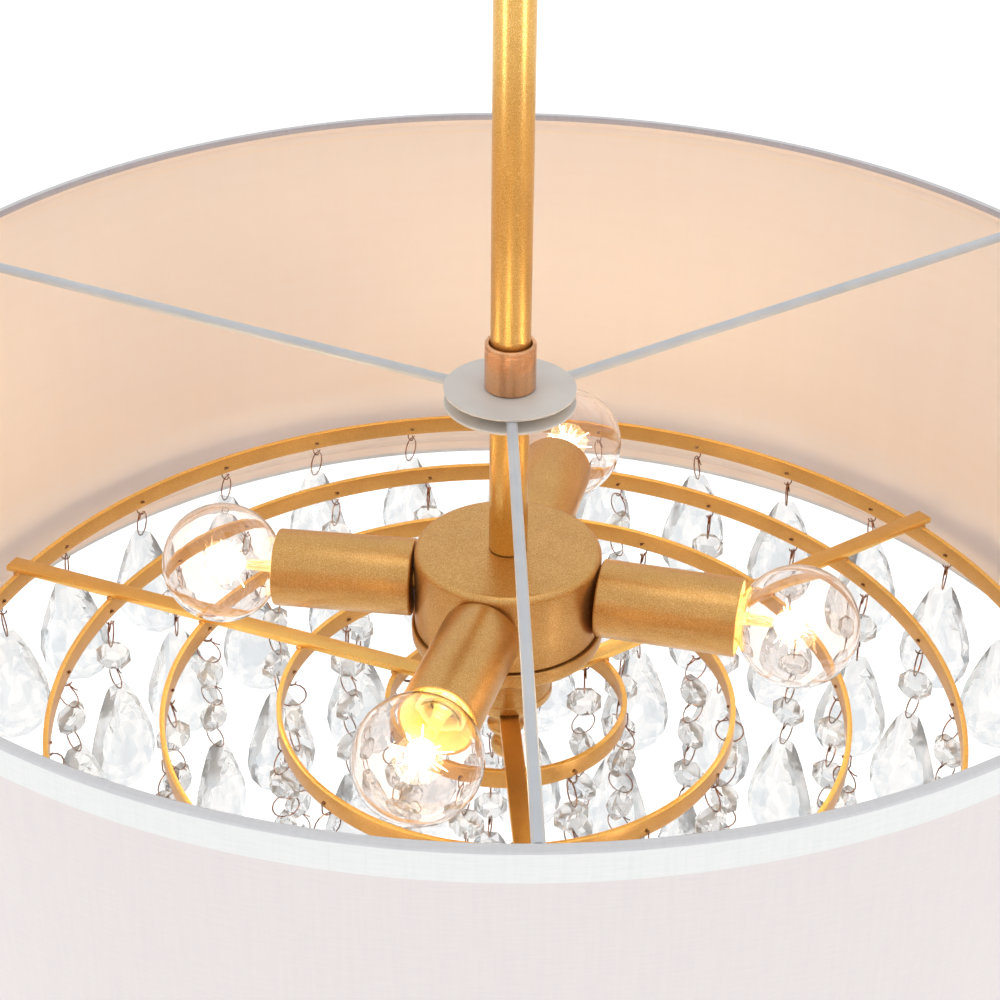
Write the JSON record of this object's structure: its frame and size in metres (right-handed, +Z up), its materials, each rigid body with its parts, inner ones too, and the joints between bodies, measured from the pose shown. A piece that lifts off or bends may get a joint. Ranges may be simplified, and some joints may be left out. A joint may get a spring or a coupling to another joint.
{
  "type": "drum chandelier",
  "caption": "Drum-shade chandelier on a rigid rod: lamps on level arms inside a fabric drum, over concentric hoops that carry hanging faceted crystal strands.",
  "frame": {"origin": "middle of the ceiling plane, on the rod's axis", "axes": "+Z up along the rod, +X along the ceiling crossbar, -Y towards the picture's viewer"},
  "size_m": [0.5, 0.5, 0.6575],
  "materials": {
    "gold_paint": "warm metallic gold paint with fine sparkle",
    "bronze_plate": "antique bronze plate, speckled",
    "zinc_plate": "zinc plate",
    "white_paint": "pale grey-white paint, satin",
    "shade_fabric": "off-white fabric on a stiff liner",
    "holder_ceramic": "cream lamp holder",
    "lamp_base_nickel": "nickelled lamp base",
    "lamp_glass": "clear glass, lit",
    "crystal": "clear faceted glass"
  },
  "bodies": {
    "ceiling_fitting": {"crossbar": "zinc_plate", "ceiling_nipple": "zinc_plate", "nipple_locknut": "zinc_plate", "canopy": "gold_paint"},
    "swivel": {"swivel_yoke": "gold_paint", "swivel_pin": "gold_paint"},
    "fixture": {"rod_nipple": "zinc_plate", "centre_stem": "zinc_plate", "swivel_knuckle": "gold_paint", "upper_rod": "gold_paint", "lower_rod": "gold_paint", "lamp_housing": "gold_paint", "housing_base_cap": "gold_paint", "bar_hub": "gold_paint", "hub_washer": "gold_paint", "coupling_collar": "bronze_plate", "spider_disc_upper": "white_paint", "spider_disc_lower": "white_paint", "spider_arm_1": "white_paint", "spider_arm_2": "white_paint", "spider_arm_3": "white_paint", "shade_top_wire": "white_paint", "drum_shade": "shade_fabric", "socket_cup_1": "gold_paint", "socket_cup_2": "gold_paint", "socket_cup_3": "gold_paint", "socket_cup_4": "gold_paint", "lamp_holder_1": "holder_ceramic", "lamp_holder_2": "holder_ceramic", "lamp_holder_3": "holder_ceramic", "lamp_holder_4": "holder_ceramic", "hoop_bar_1": "gold_paint", "hoop_bar_2": "gold_paint", "hoop_bar_3": "gold_paint", "hoop_outer": "gold_paint", "hoop_second": "gold_paint", "hoop_third": "gold_paint", "hoop_fourth": "gold_paint", "hoop_inner": "gold_paint"},
    "lamp_1": {"lamp_base_1": "lamp_base_nickel", "lamp_glass_1": "lamp_glass"},
    "lamp_2": {"lamp_base_2": "lamp_base_nickel", "lamp_glass_2": "lamp_glass"},
    "lamp_3": {"lamp_base_3": "lamp_base_nickel", "lamp_glass_3": "lamp_glass"},
    "lamp_4": {"lamp_base_4": "lamp_base_nickel", "lamp_glass_4": "lamp_glass"},
    "finial_nut": {"finial": "gold_paint"},
    "strand_1": {"crystal_strand_1": "crystal"},
    "strand_2": {"crystal_strand_2": "crystal"},
    "strand_3": {"crystal_strand_3": "crystal"},
    "strand_4": {"crystal_strand_4": "crystal"},
    "strand_5": {"crystal_strand_5": "crystal"},
    "strand_6": {"crystal_strand_6": "crystal"},
    "strand_7": {"crystal_strand_7": "crystal"}
  },
  "joints": [
    {"name": "swivel_turn", "type": "hinge", "parent": "ceiling_fitting", "child": "swivel", "pos_m": [0, 0, -0.03], "axis": [0, 0, 1], "range_deg": [-170, 170]},
    {"name": "swivel_tilt", "type": "hinge", "parent": "swivel", "child": "fixture", "pos_m": [0, 0, -0.0446], "axis": [0, 1, 0], "range_deg": [-25, 25]},
    {"name": "lamp_1_unscrew", "type": "slide", "parent": "fixture", "child": "lamp_1", "axis": [-0.2672, -0.9636, 0], "range_m": [0, 0.034]},
    {"name": "lamp_2_unscrew", "type": "slide", "parent": "fixture", "child": "lamp_2", "axis": [0.9736, -0.2284, 0], "range_m": [0, 0.034]},
    {"name": "lamp_3_unscrew", "type": "slide", "parent": "fixture", "child": "lamp_3", "axis": [0.2181, 0.9759, 0], "range_m": [0, 0.034]},
    {"name": "lamp_4_unscrew", "type": "slide", "parent": "fixture", "child": "lamp_4", "axis": [-0.9936, 0.1132, 0], "range_m": [0, 0.034]},
    {"name": "finial_unscrew", "type": "slide", "parent": "fixture", "child": "finial_nut", "axis": [0, 0, -1], "range_m": [0, 0.012]},
    {"name": "strand_1_swing", "type": "hinge", "parent": "fixture", "child": "strand_1", "pos_m": [0.02478, -0.03816, -0.50588], "axis": [-0.8387, -0.5446, 0], "range_deg": [-4, 8]},
    {"name": "strand_2_swing", "type": "hinge", "parent": "fixture", "child": "strand_2", "pos_m": [0.04528, -0.00442, -0.50588], "axis": [-0.0971, -0.9953, 0], "range_deg": [-4, 8]},
    {"name": "strand_3_swing", "type": "hinge", "parent": "fixture", "child": "strand_3", "pos_m": [0.03169, 0.03265, -0.50588], "axis": [0.7176, -0.6964, 0], "range_deg": [-4, 8]},
    {"name": "strand_4_swing", "type": "hinge", "parent": "fixture", "child": "strand_4", "pos_m": [-0.00577, 0.04513, -0.50588], "axis": [0.9919, 0.1268, 0], "range_deg": [-4, 8]},
    {"name": "strand_5_swing", "type": "hinge", "parent": "fixture", "child": "strand_5", "pos_m": [-0.03888, 0.02363, -0.50588], "axis": [0.5193, 0.8546, 0], "range_deg": [-4, 8]},
    {"name": "strand_6_swing", "type": "hinge", "parent": "fixture", "child": "strand_6", "pos_m": [-0.04272, -0.01567, -0.50588], "axis": [-0.3444, 0.9388, 0], "range_deg": [-4, 8]},
    {"name": "strand_7_swing", "type": "hinge", "parent": "fixture", "child": "strand_7", "pos_m": [-0.01438, -0.04317, -0.50588], "axis": [-0.9487, 0.3161, 0], "range_deg": [-4, 8]}
  ]
}
